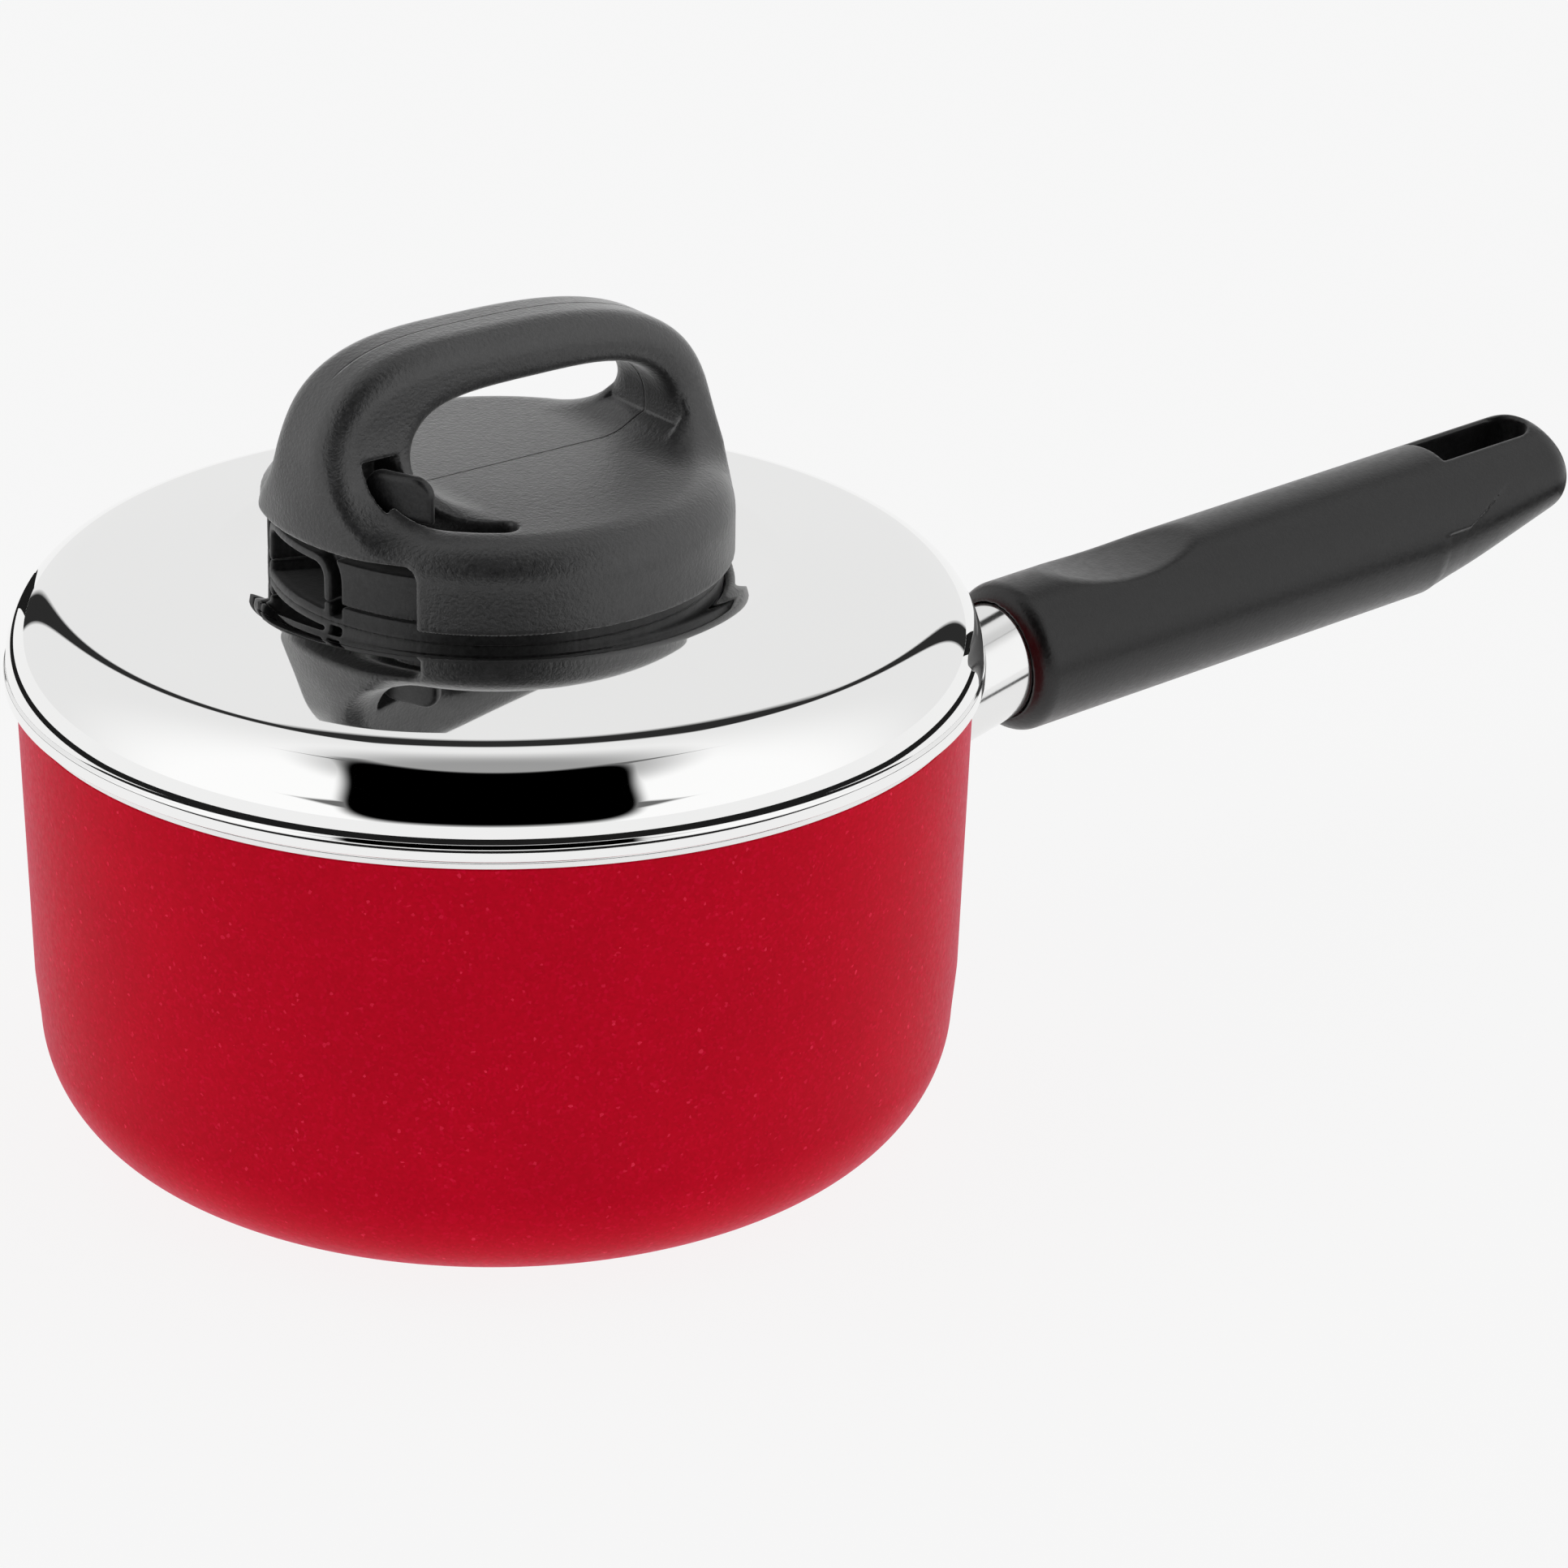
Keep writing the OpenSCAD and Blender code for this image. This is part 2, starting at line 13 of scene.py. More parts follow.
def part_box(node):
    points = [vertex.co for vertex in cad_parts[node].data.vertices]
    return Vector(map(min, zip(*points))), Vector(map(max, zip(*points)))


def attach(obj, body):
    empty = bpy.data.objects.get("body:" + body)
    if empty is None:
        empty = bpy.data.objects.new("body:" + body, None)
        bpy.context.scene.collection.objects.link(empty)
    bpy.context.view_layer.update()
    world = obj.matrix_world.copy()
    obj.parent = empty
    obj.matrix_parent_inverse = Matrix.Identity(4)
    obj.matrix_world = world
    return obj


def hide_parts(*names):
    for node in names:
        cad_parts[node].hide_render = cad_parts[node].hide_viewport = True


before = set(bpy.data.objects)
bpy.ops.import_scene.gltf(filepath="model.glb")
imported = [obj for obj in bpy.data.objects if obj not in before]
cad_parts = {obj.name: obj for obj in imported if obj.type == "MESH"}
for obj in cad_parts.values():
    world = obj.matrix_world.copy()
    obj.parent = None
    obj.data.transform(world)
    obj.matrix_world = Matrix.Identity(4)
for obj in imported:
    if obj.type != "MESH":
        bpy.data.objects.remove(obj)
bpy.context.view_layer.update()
MM = 0.001


def span(node):
    """Lowest and highest corner of a CAD node, in mm."""
    low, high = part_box(node)
    return [v / MM for v in low], [v / MM for v in high]


# Sizes taken from the frame
PAN_R = span("rim_trim")[1][0]
PAN_H = span("rim_trim")[1][2]
TRIM_Z = span("rim_trim")[0][2]
LID_R = span("lid_shell")[1][0]
LID_Z = PAN_H + 0.3
CAP_R = span("knob_cap")[1][1]
SKIRT_Z = span("knob_cap")[0][2]
CROWN_Z = span("knob_cap")[1][2]
ARCH_H = 26.8
TOP_Z = CROWN_Z - ARCH_H
SEAT_Z = span("knob_base")[0][2]
DECK_Z = span("vent_housing")[1][2]
SPLIT_Z = span("knob_base")[1][2]

# Sizes that the frame's boxes don't give, in mm and degrees
PAN_WALL, TRIM_IN, WALL_LEAN = 1.6, 0.4, 1.5
ARCH_SHIFT, ARCH_POWER, ARCH_HALF_W = 8.0, 2.9, 8.5
GAP_X, GAP_HALF, GAP_H = 4.5, 27.0, 16.4
CAVITY_R, ROOF_T, WINDOW_H, WINDOW_HALF = 39.2, 2.5, 10.8, 43.7
HOUSING_R, CHAMBER_R, HUB_BORE_R = 38.9, 22.25, 2.55
VENT_AZ, TAB_AZ, SLOT_TURN = 172.0, 204.0, 33.0
SLOT_R, TAB_R, GATE_R = 29.8, 31.2, 24.7
NOTCH_R, NOTCH_FROM, NOTCH_TO = 31.0, 188.5, 203.0
GRIP_R, GRIP_FRONT, GRIP_TIP, GRIP_DROP, GRIP_TILT = 14.25, 30.5, 171.7, 27.6, 2.4
GUARD_TILT, GUARD_R, GUARD_T = 11.4, 10.7, 0.8
STUDIO_TURN = 35.3


# ---------------------------------------------------------------- meshes

def link_object(name, data):
    obj = bpy.data.objects.new(name, data)
    bpy.context.scene.collection.objects.link(obj)
    return obj


def add_mesh(name, points, faces, smooth=40.0):
    """A new object from points in mm and faces, shaded smooth up to an angle."""
    mesh = bpy.data.meshes.new(name)
    mesh.from_pydata([tuple(p) for p in np.asarray(points, float) * MM], [], [tuple(f) for f in faces])
    mesh.validate()
    mesh.update()
    for poly in mesh.polygons:
        poly.use_smooth = True
    if smooth:
        mesh.set_sharp_from_angle(angle=math.radians(smooth))
    return link_object(name, mesh)


def revolve(name, profile, segments=256, smooth=40.0):
    """A closed solid of revolution about Z. The profile runs counter-clockwise in (radius, height)."""
    profile = [(max(r, 0.0), z) for r, z in profile]
    points, rings = [], []
    for r, z in profile:
        if r < 1e-6:
            rings.append([len(points)])
            points.append((0.0, 0.0, z))
            continue
        start = len(points)
        for k in range(segments):
            a = 2 * math.pi * k / segments
            points.append((r * math.cos(a), r * math.sin(a), z))
        rings.append(list(range(start, start + segments)))
    faces = []
    count = len(rings)
    for i in range(count):
        a, b = rings[i], rings[(i + 1) % count]
        if len(a) == 1 and len(b) == 1:
            continue
        for k in range(segments):
            n = (k + 1) % segments
            if len(a) == 1:
                faces.append((a[0], b[n], b[k]))
            elif len(b) == 1:
                faces.append((a[k], a[n], b[0]))
            else:
                faces.append((a[k], a[n], b[n], b[k]))
    return add_mesh(name, points, faces, smooth)


def arc(x, z, r, start, end, n):
    """Points along an arc about (x, z), with its two angles in degrees."""
    return [(x + r * math.cos(math.radians(start + (end - start) * i / n)),
             z + r * math.sin(math.radians(start + (end - start) * i / n))) for i in range(n + 1)]


def smax(a, b, k):
    """The larger of two distances, with the edge where they meet rounded."""
    h = np.clip(0.5 - 0.5 * (b - a) / k, 0.0, 1.0)
    return b * (1 - h) + a * h + k * h * (1 - h)


def smin(a, b, k):
    """The smaller of two distances, with the corner where they meet filled."""
    return -smax(-a, -b, k)


def corner(a, b, r):
    """Distance to a quarter space whose edge is rounded to a radius."""
    qa, qb = a + r, b + r
    return np.hypot(np.maximum(qa, 0), np.maximum(qb, 0)) + np.minimum(np.maximum(qa, qb), 0) - r


def smooth_solid(name, distance, low, high, step, place=None):
    """Meshes the zero surface of a distance function of x, y, z in mm."""
    low, high = np.array(low, float) - 2 * step, np.array(high, float) + 2 * step
    axes = [np.arange(low[i], high[i] + step, step, dtype=np.float32) for i in range(3)]
    x, y, z = np.meshgrid(*axes, indexing="ij", sparse=True)
    field = np.broadcast_to(distance(x, y, z), [len(a) for a in axes])
    grid = openvdb.FloatGrid(background=3.0)
    grid.copyFromArray(np.ascontiguousarray(np.clip(field / step, -3, 3), dtype=np.float32))
    points, quads = grid.convertToQuads(isovalue=0.0)
    points = low + points.astype(float) * step
    if place is not None:
        turn = np.array(place.to_3x3())
        points = points @ turn.T + np.array(place.translation)
    a, b, c = (points[quads[:, i]] for i in (0, 1, 2))
    d = points[quads[:, 3]]
    volume = np.einsum("ij,ij->i", a, np.cross(b, c) + np.cross(c, d)).sum()
    if volume < 0:
        quads = quads[:, ::-1]
    mesh = bpy.data.meshes.new(name)
    mesh.vertices.add(len(points))
    mesh.vertices.foreach_set("co", (points * MM).astype(np.float32).ravel())
    mesh.loops.add(len(quads) * 4)
    mesh.loops.foreach_set("vertex_index", quads.astype(np.int32).ravel())
    mesh.polygons.add(len(quads))
    mesh.polygons.foreach_set("loop_start", np.arange(0, len(quads) * 4, 4, dtype=np.int32))
    mesh.polygons.foreach_set("use_smooth", np.ones(len(quads), dtype=bool))
    mesh.update()
    mesh.validate()
    return link_object(name, mesh)


# ---------------------------------------------------------------- materials

def math_node(tree, kind, values, clamp=False):
    """A math node whose inputs are sockets, numbers or nothing."""
    n = tree.nodes.new("ShaderNodeMath")
    n.operation = kind
    n.use_clamp = clamp
    for socket, value in zip(n.inputs, values):
        if isinstance(value, bpy.types.NodeSocket):
            tree.links.new(value, socket)
        elif value is not None:
            socket.default_value = value
    return n.outputs[0]


class Shader:
    """A small helper to build one node material."""

    def __init__(self, name, **values):
        tint = values.pop("Sheen_Tint", None)
        self.mat = bpy.data.materials.new(name)
        self.mat.use_nodes = True
        self.tree = self.mat.node_tree
        self.bsdf = next(n for n in self.tree.nodes if n.type == "BSDF_PRINCIPLED")
        self.place = self.node("ShaderNodeTexCoord").outputs["Object"]
        for key, value in values.items():
            self.bsdf.inputs[key.replace("_", " ")].default_value = value
        if tint:
            self.bsdf.inputs["Sheen Tint"].default_value = (*tint, 1)

    def node(self, kind, inputs=None, **settings):
        n = self.tree.nodes.new(kind)
        for key, value in settings.items():
            setattr(n, key, value)
        for key, value in (inputs or {}).items():
            if isinstance(value, bpy.types.NodeSocket):
                self.tree.links.new(value, n.inputs[key])
            else:
                n.inputs[key].default_value = value
        return n

    def link(self, a, b):
        self.tree.links.new(a, b)

    def noise(self, scale, detail=2.0, rough=0.5, vector=None):
        return self.node("ShaderNodeTexNoise", {"Vector": vector or self.place, "Scale": scale,
                                                "Detail": detail, "Roughness": rough}).outputs["Fac"]

    def cells(self, scale):
        return self.node("ShaderNodeTexVoronoi", {"Vector": self.place, "Scale": scale})

    def ramp(self, value, stops):
        n = self.node("ShaderNodeValToRGB", {"Fac": value})
        while len(n.color_ramp.elements) < len(stops):
            n.color_ramp.elements.new(0.5)
        for e, (at, col) in zip(n.color_ramp.elements, stops):
            e.position = at
            e.color = (*col, 1) if not isinstance(col, float) else (col, col, col, 1)
        return n.outputs["Color"]

    def math(self, kind, a, b=None, clamp=False):
        return math_node(self.tree, kind, (a, b), clamp)

    def mix(self, fac, a, b):
        n = self.node("ShaderNodeMix", data_type="RGBA")
        self.link(fac, n.inputs[0])
        self.link(a, n.inputs[6])
        n.inputs[7].default_value = (*b, 1)
        return n.outputs[2]

    def multiply(self, a, b):
        n = self.node("ShaderNodeMix", data_type="RGBA", blend_type="MULTIPLY")
        n.inputs[0].default_value = 1.0
        self.link(a, n.inputs[6])
        self.link(b, n.inputs[7])
        return n.outputs[2]

    def bump(self, height, strength, distance):
        n = self.node("ShaderNodeBump", {"Height": height, "Strength": strength, "Distance": distance})
        self.link(n.outputs[0], self.bsdf.inputs["Normal"])

    def to(self, socket, value):
        self.link(value, self.bsdf.inputs[socket])


def make_red():
    """Satin enamel with a fine metallic flake and a soft rim of lighter red."""
    s = Shader("red_enamel", Roughness=0.4, Specular_IOR_Level=0.03, Coat_Weight=0.03, Coat_Roughness=0.14,
               Coat_IOR=1.5, Sheen_Weight=0.25, Sheen_Roughness=0.3, Sheen_Tint=(1.0, 0.16, 0.42))
    flake = s.cells(1900.0)
    spark = s.ramp(flake.outputs["Color"], [(0.0, (0.55, 0.0, 0.013)), (0.7, (0.625, 0.0, 0.017)),
                                            (0.9, (0.68, 0.001, 0.028)), (1.0, (0.9, 0.03, 0.08))])
    broad = s.ramp(s.noise(55.0, 3.0), [(0.35, (0.93, 0.93, 0.93)), (0.7, (1.0, 1.0, 1.0))])
    s.to("Base Color", s.multiply(spark, broad))
    s.to("Roughness", s.ramp(s.noise(900.0, 2.0), [(0.3, 0.36), (0.7, 0.48)]))
    s.bump(s.noise(1100.0, 2.0, 0.6), 0.12, 0.00012)
    return s.mat


def make_coating():
    """Dark non-stick lining with pale specks."""
    s = Shader("pan_lining", Roughness=0.4)
    speck = s.ramp(s.cells(1300.0).outputs["Color"], [(0.0, 0.012), (0.8, 0.02), (0.95, 0.07), (1.0, 0.16)])
    s.to("Base Color", speck)
    s.to("Roughness", s.ramp(s.noise(300.0), [(0.3, 0.33), (0.7, 0.46)]))
    s.bump(s.noise(900.0, 3.0), 0.1, 0.0001)
    return s.mat


def make_mirror(name, tone, rough, wear):
    """Polished steel with faint patches of wear."""
    s = Shader(name, Metallic=1.0, Roughness=rough)
    s.to("Base Color", s.ramp(s.noise(14.0, 2.0), [(0.3, (tone * 0.985, tone * 0.985, tone * 0.98)),
                                                   (0.7, (tone, tone, tone * 0.995))]))
    s.to("Roughness", s.ramp(s.noise(120.0, 4.0), [(0.35, rough), (0.8, rough + wear)]))
    return s.mat


def make_brushed(name, tone, around=True, rough=0.3):
    """Steel with fine turned lines round Z, or plain drawn lines."""
    s = Shader(name, Metallic=1.0, Roughness=rough)
    xyz = s.node("ShaderNodeSeparateXYZ", {"Vector": s.place}).outputs
    if around:
        squares = [s.math("MULTIPLY", v, v) for v in (xyz[0], xyz[1])]
        radius = s.math("SQRT", s.math("ADD", *squares))
        at = s.node("ShaderNodeCombineXYZ", {"X": radius}).outputs[0]
    else:
        at = s.node("ShaderNodeCombineXYZ", {"Y": xyz[1], "Z": xyz[2]}).outputs[0]
    lines = s.noise(2600.0, 3.0, 0.6, at)
    s.to("Base Color", s.ramp(lines, [(0.3, tuple(0.85 * t for t in tone)), (0.7, tone)]))
    s.to("Roughness", s.ramp(lines, [(0.3, rough * 0.8), (0.7, rough * 1.25)]))
    s.bump(lines, 0.12, 0.00005)
    return s.mat


def make_plastic(name, tone, rough, grain, depth, seam=False, gloss=0.5, sheen=0.0):
    """Moulded plastic with a fine spark-eroded grain and, if asked, a thin mould line along y = 0."""
    s = Shader(name, Roughness=rough, Specular_IOR_Level=gloss, Sheen_Weight=sheen, Sheen_Roughness=0.35)
    fine = s.noise(grain, 2.0, 0.65)
    broad = s.noise(60.0, 3.0)
    colour = s.ramp(fine, [(0.32, tuple(0.55 * t for t in tone)), (0.7, tuple(1.6 * t for t in tone))])
    wear = s.ramp(broad, [(0.35, 0.9), (0.7, 1.08)])
    out = s.multiply(colour, wear)
    height = fine
    if seam:
        line_w, line_end, fade = 0.00028, 0.0335, 0.004
        xyz = s.node("ShaderNodeSeparateXYZ", {"Vector": s.place}).outputs
        line = s.math("SUBTRACT", 1.0, s.math("DIVIDE", s.math("ABSOLUTE", xyz[1]), line_w), clamp=True)
        left = s.math("SUBTRACT", line_end, s.math("ABSOLUTE", xyz[0]))
        ends = s.math("DIVIDE", left, fade, clamp=True)
        line = s.math("MULTIPLY", line, ends)
        height = s.math("SUBTRACT", fine, s.math("MULTIPLY", line, 2.2))
        out = s.mix(s.math("MULTIPLY", line, 0.55), out, (0.004, 0.004, 0.004))
    s.to("Base Color", out)
    s.to("Roughness", s.ramp(s.noise(grain * 0.5, 2.0), [(0.3, rough * 0.88), (0.7, rough * 1.15)]))
    s.bump(height, depth, 0.00012)
    return s.mat


RED = make_red()
LINING = make_coating()
MIRROR = make_mirror("lid_mirror", 0.93, 0.015, 0.012)
TRIM = make_mirror("bright_trim", 0.86, 0.1, 0.06)
BASE = make_brushed("base_steel", (0.6, 0.6, 0.585))
BRACKET = make_brushed("bracket_steel", (0.5, 0.5, 0.49), False, 0.38)
ZINC = make_brushed("zinc_steel", (0.66, 0.65, 0.6), False, 0.3)
BRASS = make_brushed("insert_brass", (0.62, 0.46, 0.2), False, 0.3)
RUBBER = make_plastic("seal_rubber", (0.016, 0.016, 0.017), 0.7, 1500.0, 0.25)
HOUSING = make_plastic("housing_black", (0.016, 0.016, 0.0165), 0.4, 1300.0, 0.4, gloss=0.45, sheen=0.4)
CAP = make_plastic("cap_black", (0.015, 0.015, 0.0155), 0.38, 1500.0, 1.0, seam=True, gloss=0.85, sheen=1.0)
GRIP = make_plastic("grip_black", (0.004, 0.004, 0.0042), 0.34, 1500.0, 0.4, gloss=0.5, sheen=0.15)
SLIDER = make_plastic("slider_black", (0.014, 0.014, 0.0145), 0.34, 1500.0, 0.25, gloss=0.45, sheen=0.3)
GATE = make_plastic("gate_grey", (0.06, 0.06, 0.063), 0.5, 1500.0, 0.2)


def dress(obj, material, body, node):
    """Gives a mesh its material, and puts it on a body in place of a CAD node."""
    obj.data.materials.clear()
    obj.data.materials.append(material)
    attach(obj, body)
    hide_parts(node)
    return obj


# ---------------------------------------------------------------- pan

def build_pan():
    lean = math.tan(math.radians(WALL_LEAN))
    base_r = PAN_R - lean * TRIM_Z
    wall, floor, edge, segments = PAN_WALL, 2.8, 22.0, 288
    top = PAN_H - TRIM_IN
    outer = [(0.0, 1.0), (20.0, 1.0), (55.95, 1.0), (56.0, 0.95), (56.0, 0.15), (56.15, 0.0)]
    outer += [(base_r - edge, 0.0)]
    outer += arc(base_r - edge, edge, edge, -86, -1.5, 40)
    outer += [(base_r + lean * z, z) for z in (30, 40, 50, 60, 70, 78, TRIM_Z - 0.2)]
    outer += [(PAN_R - 0.15, TRIM_Z), (PAN_R - TRIM_IN, TRIM_Z), (PAN_R - TRIM_IN, top)]
    inner_r = PAN_R - TRIM_IN - wall
    inner = [(inner_r, top), (inner_r, TRIM_Z), (inner_r - 0.02, TRIM_Z - 0.2)]
    inner += [(base_r - TRIM_IN - wall + lean * z, z) for z in (70, 55, 40, 30)]
    inner += arc(base_r - edge - TRIM_IN, floor + edge - wall, edge - wall, -1.5, -90, 32)
    inner += [(40.0, floor), (20.0, floor), (0.0, floor)]
    pan = revolve("pan_shell_skin", outer + inner, segments, 35)
    dress(pan, RED, "pan", "pan_shell")
    # The faces come ring by ring, so those of the inside are the last ones
    pan.data.materials.append(LINING)
    for k, poly in enumerate(pan.data.polygons):
        poly.material_index = 1 if k // segments >= len(outer) - 1 else 0


def build_trim():
    out, inn, low = PAN_R, PAN_R - 2.4, TRIM_Z
    profile = [(out - 0.4, low), (out - 0.12, low), (out, low + 0.15)]
    profile += arc(out - 0.75, PAN_H - 0.75, 0.75, 0, 90, 8)
    profile += arc(inn + 0.75, PAN_H - 0.75, 0.75, 90, 180, 8)
    profile += [(inn, low + 0.15), (inn + 0.12, low), (inn + 0.4, low), (inn + 0.4, PAN_H - 0.4),
                (out - 0.4, PAN_H - 0.4)]
    dress(revolve("rim_trim_ring", profile, 256, 50), TRIM, "pan", "rim_trim")


# ---------------------------------------------------------------- lid

def blend_points(points, r, n):
    """Rounds the inner corners of an open line of points."""
    out = [points[0]]
    for a, b, c in zip(points, points[1:], points[2:]):
        a, b, c = (np.array(p, float) for p in (a, b, c))
        to_a, to_c = np.linalg.norm(a - b), np.linalg.norm(c - b)
        p0 = b + (a - b) / to_a * min(r, to_a * 0.45)
        p2 = b + (c - b) / to_c * min(r, to_c * 0.45)
        for i in range(n + 1):
            u = i / n
            out.append(tuple((1 - u) ** 2 * p0 + 2 * u * (1 - u) * b + u * u * p2))
    out.append(points[-1])
    return out


def build_lid():
    t, neck, ring_r, ring_w, sr = 0.8, 0.4, CAP_R + 7.8, 1.6, 14.0
    bead_z = LID_Z + 2.6
    sz, sx = bead_z + 0.4, LID_R - neck - sr
    plateau = sz + sr
    ring_z = plateau + 3.0
    seat_r = CAP_R + 2.0
    lip_r = PAN_R - TRIM_IN - PAN_WALL - 0.9
    lip_in, lip_low = lip_r - t, LID_Z - 6
    wall_in, under = LID_R - neck - t, LID_Z + t
    bead = blend_points([(LID_R - 0.6, LID_Z), (LID_R, LID_Z), (LID_R, bead_z - 0.25),
                         (LID_R - neck, bead_z + 0.12), (LID_R - neck, sz + 0.05)], 0.3, 5)[:-1]
    shoulder = arc(sx, sz, sr, 1.5, 82.3, 72)
    crown = blend_points([shoulder[-1], (ring_r + ring_w, ring_z - 0.3), (ring_r, ring_z - 0.05),
                          (ring_r - ring_w, ring_z - 0.25), (seat_r, SEAT_Z), (seat_r - 6, SEAT_Z)], 1.2, 6)
    upper = bead + shoulder + crown[1:] + [(20.0, SEAT_Z), (5.0, SEAT_Z)]
    lower = [(5.0, SEAT_Z - t), (20.0, SEAT_Z - t), (seat_r - 0.2, SEAT_Z - t)]
    lower += [(ring_r - ring_w, ring_z - 0.2 - t), (ring_r, ring_z - t), (ring_r + ring_w, ring_z - 0.3 - t)]
    lower += [(sx - 3.0, plateau + 0.1 - t)]
    lower += arc(sx, sz, sr - t, 90, 2, 36)
    lower += [(wall_in, under + 0.4), (wall_in - 0.4, under), (lip_r + 0.3, under)]
    lower += [(lip_r - 0.4, under - 0.2), (lip_in, LID_Z - 0.4), (lip_in, lip_low + 0.2), (lip_in + 0.2, lip_low)]
    lower += [(lip_r - 0.2, lip_low), (lip_r, lip_low + 0.2), (lip_r, LID_Z - 0.4), (lip_r + 0.4, LID_Z)]
    dress(revolve("lid_shell_skin", upper + lower, 512, 45), MIRROR, "lid", "lid_shell")


# ---------------------------------------------------------------- knob

def polar(x, y):
    return np.hypot(x, y), np.degrees(np.arctan2(y, x)) % 360.0


def off_az(az, middle):
    return (az - middle + 180.0) % 360.0 - 180.0


def round_mm(az, middle, r):
    """Signed length along a circle of radius r from a middle azimuth."""
    return np.radians(off_az(az, middle)) * r


def between(v, low, high):
    return np.maximum(low - v, v - high)


def superellipse(x, z, cx, a, b, power_left, power_right):
    """Rough distance to a half superellipse about (cx, 0), with its own power on each side."""
    dx = x - cx
    p = np.where(dx < 0, power_left, power_right)
    u, v = np.maximum(np.abs(dx) / a, 1e-4), np.maximum(np.maximum(z, 0.0) / b, 1e-4)
    g = (u ** p + v ** p) ** (1 / p)
    grad = g ** (1 - p) * np.hypot(u ** (p - 1) / a, v ** (p - 1) / b)
    return (g - 1) / np.maximum(grad, 1e-5)


def cap_distance(x, y, z):
    r, az = polar(x, y)
    zt = z - TOP_Z
    dome = corner(r - CAP_R, zt, 8.0)
    # The arch: a rounded bar along X that widens towards its feet
    reach = np.where(x < -ARCH_SHIFT, CAP_R - ARCH_SHIFT, CAP_R + ARCH_SHIFT)
    outer = superellipse(x, zt, -ARCH_SHIFT, reach, ARCH_H, ARCH_POWER, ARCH_POWER)
    side = np.abs(y) - ARCH_HALF_W - 3.6 * np.clip(1.0 - zt / 16.0, 0.0, 1.0) ** 2
    hole = superellipse(x, zt, GAP_X, GAP_HALF, GAP_H, 4.0, 3.2)
    bar = smax(corner(outer, side, 5.0), -hole, 4.2)
    body = smin(dome, bar, 10.0)
    # The fillet is cut back inside the opening, down to a low one on the disc
    fillet = np.maximum(np.maximum(hole + 0.3, 3.2 - zt), np.abs(y) - ARCH_HALF_W - 0.5)
    body = smax(body, -fillet, 2.2)
    body = smax(body, r - CAP_R, 1.2)
    body = smax(body, SKIRT_Z - z, 0.5)
    # Cavity below
    flat = z - (TOP_Z - ROOF_T)
    roof = np.maximum(flat, (r - CAVITY_R + (z - (DECK_Z + 0.4)) * 1.17) * 0.65)
    room = smax(np.maximum(r - CAVITY_R, flat), roof, 0.8)
    body = smax(body, -room, 0.5)
    # Window round the outlet, with rounded upper corners
    aside = np.abs(round_mm(az, VENT_AZ, 40.0)) - math.radians(WINDOW_HALF) * 40.0
    window = np.maximum(corner(aside, z - (SKIRT_Z + WINDOW_H), 2.6), 36.0 - r)
    body = smax(body, -window, 0.7)
    # Slot of the slider, round at its far end
    end_az, half_w = TAB_AZ + SLOT_TURN, 2.4
    end_x, end_y = SLOT_R * math.cos(math.radians(end_az)), SLOT_R * math.sin(math.radians(end_az))
    strip = np.where(off_az(az, end_az) > 0, np.hypot(x - end_x, y - end_y), np.abs(r - SLOT_R)) - half_w
    strip = np.maximum(strip, -round_mm(az, TAB_AZ - 5.0, 30.0))
    strip = np.maximum(strip, z - (TOP_Z + 6.0))
    body = smax(body, -strip, 0.6)
    # Room for the slider's tab in the arch's leg
    aside = np.abs(round_mm(az, (NOTCH_FROM + NOTCH_TO) / 2, NOTCH_R))
    half = math.radians((NOTCH_TO - NOTCH_FROM) / 2) * NOTCH_R
    notch = corner(aside - half, zt - 9.7, 1.4)
    notch = np.maximum(notch, np.maximum(np.abs(r - NOTCH_R) - 3.2, -zt))
    return smax(body, -notch, 0.7)


def build_cap():
    low, high = (-CAP_R, -CAP_R, SKIRT_Z), (CAP_R, CAP_R, CROWN_Z)
    cap = smooth_solid("knob_cap_skin", cap_distance, low, high, 0.42)
    dress(cap, CAP, "lid", "knob_cap")


def housing_distance(x, y, z, low, high, deck):
    """Upper (deck) or lower half of the knob's inner housing, between two heights."""
    r, az = polar(x, y)
    aside = np.abs(round_mm(az, VENT_AZ, HOUSING_R))
    level = between(z, low, high)
    ring = np.maximum(np.abs(r - HOUSING_R + 0.85) - 0.85, level)
    inner = np.maximum(np.abs(r - CHAMBER_R) - 0.75, level)
    body = np.minimum(ring, inner)
    plate_low, plate_high = (high - 1.5, high) if deck else (low, low + 1.5)
    plate = np.maximum(r - HOUSING_R, between(z, plate_low, plate_high))
    body = smin(body, plate, 0.4)
    for side in (-1, 1):
        wall = np.abs(round_mm(az, VENT_AZ + side * 16.3, r)) - 0.9
        wall = np.maximum(wall, np.maximum(between(r, CHAMBER_R + 0.25, HOUSING_R), level))
        body = smin(body, wall, 0.3)
    body = smax(body, r - HOUSING_R, 0.5)
    body = smax(body, z - high, 0.5)
    # The gap round the outlet's frame, then the opening itself
    edge = corner(aside - 11.95, z - DECK_Z, 4.2)
    gap = np.maximum(between(edge, 0.0, 2.4), 36.3 - r)
    duct = np.maximum(corner(aside - 10.2, z - (DECK_Z - 1.7), 2.6), 20.5 - r)
    if not deck:
        gap = np.maximum(gap, low + 0.8 - z)
        duct = np.maximum(duct, low + 1.5 - z)
    body = smax(body, -gap, 0.6)
    body = smax(body, -duct, 0.5)
    bore = 5.1 if not deck else 2.5
    return np.maximum(body, bore - r)


